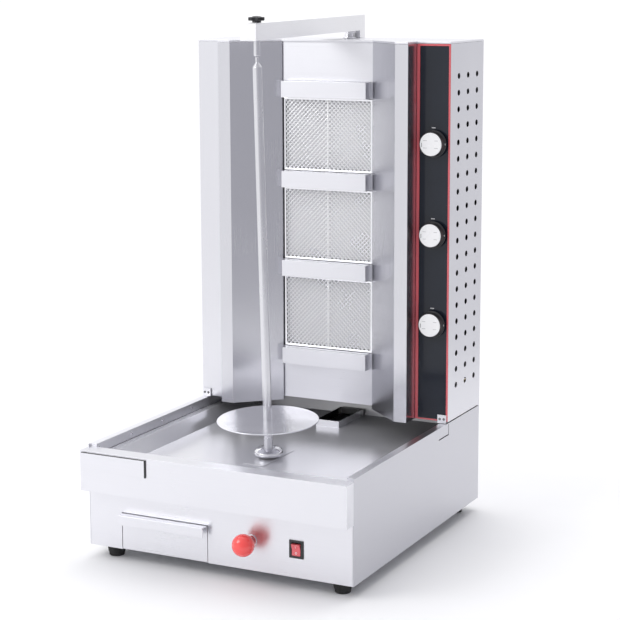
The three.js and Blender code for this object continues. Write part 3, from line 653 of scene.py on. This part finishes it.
pin_top = high("top_pin").z / MM
pin_tip = low("top_pin").z / MM
pin = [(0, pin_tip), (4.6, pin_tip), (5.7, pin_tip + 1.2), (5.7, pin_top - 19)]
pin += [(4.7, pin_top - 18), (4.7, pin_top), (0, pin_top)]
PIN = Vector((0, middle("top_pin").y, 0))
turned_piece("pin_turned", pin, PIN, Z, "steel_turned", "pin",
             ["top_pin"], 40, 0.3)

STAR_KNOB_HEIGHT = 12
STAR_KNOB_LOBES = 7
LOBE_DEPTH = 2.0


def star_knob():
    """A lobed hand nut with a hub under it and a low dome on top."""
    base = high("star_knob").z / MM - STAR_KNOB_HEIGHT
    data = bmesh.new()
    hub = [(0, 6), (4.9, 6), (4.9, 0.5), (8, 0.5), (8, 4), (8.6, 4)]
    head = [(10.5, 3.6), (12.2, 3.7), (13, 4.6), (13, 8.9), (12.2, 9.8)]
    dome = [(10, 10), (9, 10), (7, 11.3), (0, STAR_KNOB_HEIGHT)]
    profile = [(r, base + h) for r, h in hub + head + dome]
    lathe(data, profile, Matrix.Translation(PIN), 112, 0.3, STAR_KNOB_LOBES, LOBE_DEPTH)
    mesh = shaded(data, "star_knob_moulded")
    finish_piece("star_knob_moulded", mesh, "black_plastic", "clamp_knob",
                 ["star_knob"])


star_knob()

pivot_low, pivot_high = low("arm_pivot").z / MM, high("arm_pivot").z / MM
PIVOT_CAP = 6
ARM_SHEET = 2
ARM_PLAY = 0.5  # above the arm's sheet and below it
saddle_low = pivot_high - PIVOT_CAP - ARM_PLAY - ARM_SHEET - ARM_PLAY
pivot = [(0, pivot_low), (12.5, pivot_low), (12.5, pivot_low + 2.2), (8, pivot_low + 2.8)]
for ring in (3.6, 6.4):
    pivot += [(8, pivot_low + ring), (11.2, pivot_low + ring + 0.5), (11.2, pivot_low + ring + 1.6)]
    pivot += [(8, pivot_low + ring + 2.1)]
pivot += [(8, saddle_low - 2.6), (12.5, saddle_low - 2), (12.5, saddle_low), (6, saddle_low)]
pivot += [(6, pivot_high - PIVOT_CAP), (10, pivot_high - PIVOT_CAP)]
pivot += [(10, pivot_high - 0.8), (9, pivot_high), (0, pivot_high)]
PIVOT = Vector((0, middle("arm_pivot").y, 0))
turned_piece("pivot_turned", pivot, PIVOT, Z, "chrome", "cabinet",
             ["arm_pivot"], 56, 0.25)

gland = [(0, 0), (8, 0), (8, 12), (10, 12), (10, 18), (8, 20), (6.5, 26), (4, 26), (4, 8), (0, 8)]
gland_place = middle("cable_gland")
gland_place.y = low("cable_gland").y
turned_piece("gland_turned", gland, gland_place, Y, "black_plastic", "cabinet",
             ["cable_gland"], 48, 0.4)

# ---------------------------------------------------------------- knobs, prints and switch

KNOB = [(0, 9), (4.4, 9), (4.4, 0), (24, 0), (25.5, 1.5), (25.5, 3), (23, 4.5), (22.5, 14.2)]
KNOB += [(21.9, 15.2), (21.5, 15.2), (21.5, 14.4), (0, 14.4)]
KNOB_FACE = 16  # the cap's face, from the knob's back
CAP = [(0, 14.2), (21.4, 14.2), (21.4, 15.4), (20.8, KNOB_FACE), (0, KNOB_FACE)]


def bar_piece(name, x, y, z, material, body):
    """A small block between two values on each axis."""
    data = bmesh.new()
    box_into(data, (x[0], y[0], z[0]), (x[1], y[1], z[1]))
    return finish_piece(name, shaded(data, name), material, body)


def cap_marks(name, seat, body):
    """A pointer at the left of a knob's face and four short lines of its grip."""
    face = seat.y - KNOB_FACE * MM
    layer = (face - 0.00004, face + 0.0001)
    spans = [((-18.5, -17.0), (-5.5, 2.5))]
    for rise in (-6.8, 6.8):
        tall = (rise - 0.3, rise + 0.3)
        spans += [((-14.5, -7.5), tall), ((7.5, 14.5), tall)]
    data = bmesh.new()
    for (x0, x1), (z0, z1) in spans:
        a = (seat.x + x0 * MM, layer[0], seat.z + z0 * MM)
        b = (seat.x + x1 * MM, layer[1], seat.z + z1 * MM)
        box_into(data, a, b)
    finish_piece(name, shaded(data, name), "grey_print", body)


def control(i):
    """A knob with a pale face cap and marks, its stem, and the tick printed above it."""
    stem = middle(f"valve_stem_{i}")
    stem.y = low(f"valve_stem_{i}").y
    reach = (high(f"valve_stem_{i}").y - stem.y) / MM
    line = [(0, 0), (4, 0), (4, reach), (0, reach)]
    name = f"stem_{i}"
    turned_piece(name + "_turned", line, stem, Y, "zinc", name,
                 [f"valve_stem_{i}"], 40, 0.4)

    knob = f"control_knob_{i}"
    body = f"knob_{i}"
    seat = middle(knob)
    seat.y = high(knob).y
    turned_piece(body + "_grip", KNOB, seat, -Y, "black_plastic", body,
                 [knob], 96, 0.5)
    turned_piece(body + "_cap", CAP, seat, -Y, "cap_white", body, (), 96, 0.3)
    cap_marks(body + "_marks", seat, body)

    rim = seat.y - 4.1 * MM
    across = (seat.x + 0.0229, seat.x + 0.0245)
    tall = (seat.z - 0.0016, seat.z + 0.0016)
    bar_piece(body + "_index", across, (rim, rim + 0.002), tall, "white_print", body)

    panel = low("control_panel").y
    across = (seat.x - 0.0062, seat.x + 0.0012)
    print_layer = (panel - 0.0001, panel + 0.0002)
    tall = (seat.z + 0.0282, seat.z + 0.0298)
    bar_piece(f"tick_{i}", across, print_layer, tall, "white_print", "cabinet")


for i in (1, 2, 3):
    control(i)

ROCKER_AXIS = Vector(joint["power_switch"]["pos_m"])
ROCKER_TILT = math.radians(11)
sheet_piece("switch_rocker", "red_gloss", 0.8 * MM)


def rocker_marks():
    """A bar on the rocker's upper half and a ring on its lower half, as switches have."""
    data = bmesh.new()
    slope = math.atan2(2.3, 10.7)
    reach = 5.6 * MM
    rise = 0.05 * MM
    axle = Matrix.Translation(ROCKER_AXIS) @ Matrix.Rotation(ROCKER_TILT, 4, "X")
    middle_y = -3.2 * MM
    for half, angle in ((1, slope), (-1, -slope)):
        tip = Matrix.Translation((0, middle_y - math.tan(slope) * reach, half * reach))
        face = axle @ tip @ Matrix.Rotation(angle, 4, "X")
        if half > 0:
            made = box_into(data, (-0.35 * MM, -rise, -2.2 * MM), (0.35 * MM, 0.1 * MM, 2.2 * MM))
            bmesh.ops.transform(data, matrix=face, verts=made)
        else:
            ring = [(1.3, -0.1), (2.0, -0.1), (2.0, 0.05), (1.3, 0.05), (1.3, -0.1)]
            lathe(data, ring, face @ Matrix.Rotation(math.pi / 2, 4, "X"), 32, 0.02)
    finish_piece("rocker_marks", shaded(data, "rocker_marks"), "white_print", "rocker")


rocker_marks()

# ---------------------------------------------------------------- wire guards

WIRE_PITCH = 8.6 * MM  # along a row of crossings; the wires slant at 45 degrees
WIRE_RADIUS = 1.1 * MM
WIRE_WAVE = 0.6 * MM
STRIP_WIDTH = 1.6 * MM
WIRE_SIDES = 8
WIRE_FLATNESS = 0.55  # rolled wire is thinner than it is wide


def wire(data, points, u, v):
    """A tube of constant section, whose rings lie in the plane of u and v."""
    rings = []
    for point in points:
        ring = []
        for i in range(WIRE_SIDES):
            turn = 2 * math.pi * i / WIRE_SIDES
            offset = (u * math.cos(turn) + v * math.sin(turn)) * WIRE_RADIUS
            offset.y *= WIRE_FLATNESS
            ring.append(data.verts.new(point + offset))
        rings.append(ring)
    for a, b in zip(rings, rings[1:]):
        for i in range(WIRE_SIDES):
            j = (i + 1) % WIRE_SIDES
            data.faces.new((a[i], a[j], b[j], b[i]))
    data.faces.new(rings[0])
    data.faces.new(list(reversed(rings[-1])))


def clipped(points, corner_a, corner_b):
    """The part of a line of points that lies inside an upright rectangle."""
    def outside(point):
        return any(not corner_a[axis] <= point[axis] <= corner_b[axis] for axis in (0, 2))

    def edge_point(inner, outer):
        reach = 1
        for axis in (0, 2):
            for limit in (corner_a[axis], corner_b[axis]):
                if (outer[axis] - limit) * (inner[axis] - limit) < 0:
                    reach = min(reach, (limit - inner[axis]) / (outer[axis] - inner[axis]))
        return inner.lerp(outer, reach)

    kept = [point for point in points if not outside(point)]
    if not kept:
        return []
    first, last = points.index(kept[0]), points.index(kept[-1])
    if first > 0:
        kept.insert(0, edge_point(kept[0], points[first - 1]))
    if last < len(points) - 1:
        kept.append(edge_point(kept[-1], points[last + 1]))
    return kept


def woven(name, node):
    """Two panels of slanting wires, mirrored about a thin strip down the middle of the guard."""
    a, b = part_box(node)
    centre = (a + b) / 2
    inset = 3.5 * MM
    half_width = (b.x - a.x) / 2 - inset
    half_height = (b.z - a.z) / 2 - inset
    depth = a.y + 2.0 * MM
    step = WIRE_PITCH / 2
    reach = math.ceil((half_width + half_height) / step)
    count = range(-reach, reach + 1)
    wires = {"shaded_weft": bmesh.new(), "lit_warp": bmesh.new()}
    for side in (-1, 1):
        edges = sorted((centre.x, centre.x + side * half_width))
        corner_a = Vector((edges[0], depth, centre.z - half_height))
        corner_b = Vector((edges[1], depth, centre.z + half_height))
        for kind, turn in (("shaded_weft", 1), ("lit_warp", -1)):
            slant = side * turn
            for line in count:
                points = []
                for i in count:
                    x = centre.x + slant * (i - line) * step
                    z = centre.z + (i + line) * step
                    points.append(Vector((x, depth + turn * WIRE_WAVE * (-1) ** i, z)))
                points = clipped(points, corner_a, corner_b)
                if len(points) > 2:
                    wire(wires[kind], points, Y, (X * slant - Z).normalized())
    strip = STRIP_WIDTH / 2
    box_into(wires["lit_warp"], (centre.x - strip, depth - 1.4 * MM, corner_a.z),
             (centre.x + strip, depth - 1.1 * MM, corner_b.z))
    for kind, data in wires.items():
        bmesh.ops.recalc_face_normals(data, faces=data.faces)
        # each wire family takes its own copy of the wire steel: painted highlight on the warp, painted shade on
        # the weft
        mesh = shaded(data, f"{name}_{kind}", 80)
        finish_piece(f"{name}_{kind}", mesh, kind + "_steel", "cabinet")


def guard_frame(name, node):
    """The guard's rounded rim."""
    a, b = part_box(node)
    width = 4.2 * MM
    data = bmesh.new()
    rings = []
    for inset, y in ((0, a.y), (0, b.y), (width, b.y), (width, a.y)):
        left, right, bottom, top = a.x + inset, b.x - inset, a.z + inset, b.z - inset
        corners = ((left, y, bottom), (right, y, bottom), (right, y, top), (left, y, top))
        rings.append([data.verts.new(c) for c in corners])
    for i in range(4):
        for j in range(4):
            a_ring, b_ring = rings[i], rings[(i + 1) % 4]
            data.faces.new((a_ring[j], a_ring[(j + 1) % 4], b_ring[(j + 1) % 4], b_ring[j]))
    bmesh.ops.recalc_face_normals(data, faces=data.faces)
    piece = finish_piece(name, shaded(data, name), "chrome", "cabinet", [node])
    return bevelled(piece, 1.2 * MM, 3)


for i in (1, 2, 3):
    guard_frame(f"guard_{i}_frame", f"burner_guard_{i}")
    woven(f"guard_{i}_wires", f"burner_guard_{i}")

# ---------------------------------------------------------------- stage, light and camera

FLOOR_RADIUS = 1.7


def stage_floor():
    data = bmesh.new()
    bmesh.ops.create_circle(data, cap_ends=True, radius=FLOOR_RADIUS, segments=128)
    mesh = bpy.data.meshes.new("floor")
    data.to_mesh(mesh)
    data.free()
    g = Graph("floor")
    g.set(Base_Color=g.ramp(g.noise(3, 3), (0.3, (0.92, 0.92, 0.925)), (0.7, (0.95, 0.95, 0.955))))
    g.set(Roughness=0.7)
    mesh.materials.append(g.material)
    floor = bpy.data.objects.new("floor", mesh)
    bpy.context.scene.collection.objects.link(floor)


def area_light(name, origin, target, size, power):
    data = bpy.data.lights.new(name, "AREA")
    data.shape = "RECTANGLE"
    data.size, data.size_y = size, size
    data.energy = power
    lamp = bpy.data.objects.new(name, data)
    lamp.location = origin
    lamp.rotation_euler = (Vector(target) - Vector(origin)).to_track_quat("-Z", "Y").to_euler()
    bpy.context.scene.collection.objects.link(lamp)


WALLS = (  # how bright the studio is, from its left and back to its right and front
    (0.04, (1.05, 1.05, 1.07)),
    (0.22, (0.70, 0.70, 0.735)),
    (0.95, (0.50, 0.50, 0.54)),
)
DIM_SIDE = (1.0, -0.25, 0.0)  # the direction in which the studio's walls grow dimmer
LIGHTS = {  # place, target, side in metres, power in watts
    "key": ((-1.8, -2.2, 2.4), (0, 0, 0.45), 1.6, 28),
    "top": ((0.2, 0.9, 2.9), (0, 0.1, 0), 2.2, 26),
}


def studio():
    world = bpy.data.worlds.new("studio")
    bpy.context.scene.world = world
    world.use_nodes = True
    tree = world.node_tree
    direction = tree.nodes.new("ShaderNodeTexCoord").outputs["Generated"]
    along = tree.nodes.new("ShaderNodeVectorMath")
    along.operation = "DOT_PRODUCT"
    along.inputs[1].default_value = DIM_SIDE
    tree.links.new(direction, along.inputs[0])
    ramp = tree.nodes.new("ShaderNodeValToRGB")
    tree.links.new(along.outputs["Value"], ramp.inputs[0])
    elements = ramp.color_ramp.elements
    elements.new(0.5)
    for element, (position, colour) in zip(elements, WALLS):
        element.position = position
        element.color = (*colour, 1)
    background = tree.nodes["Background"]
    tree.links.new(ramp.outputs[0], background.inputs["Color"])
    background.inputs["Strength"].default_value = 1.0
    for name, (origin, target, size, power) in LIGHTS.items():
        area_light(name, origin, target, size, power)
    bpy.context.scene.view_settings.view_transform = "Standard"


CAMERA_PLACE = Vector((1.46448, -2.86391, 1.03525))
CAMERA_FORWARD = Vector((-0.44939, 0.87887, -0.16008))
CAMERA_ROLL = math.radians(-0.30)
CAMERA_LENS = 101.9
CAMERA_SHIFT = (0.0334, -0.0704)


def camera():
    data = bpy.data.cameras.new("camera")
    data.lens = CAMERA_LENS
    data.sensor_width = 36
    data.shift_x, data.shift_y = CAMERA_SHIFT
    forward = CAMERA_FORWARD.normalized()
    right = forward.cross(Z).normalized()
    up = right.cross(forward)
    rolled_right = right * math.cos(CAMERA_ROLL) + up * math.sin(CAMERA_ROLL)
    rolled_up = up * math.cos(CAMERA_ROLL) - right * math.sin(CAMERA_ROLL)
    turn = Matrix((rolled_right, rolled_up, -forward)).transposed()
    eye = bpy.data.objects.new("camera", data)
    eye.matrix_world = Matrix.Translation(CAMERA_PLACE) @ turn.to_4x4()
    bpy.context.scene.collection.objects.link(eye)
    bpy.context.scene.camera = eye


stage_floor()
studio()
camera()
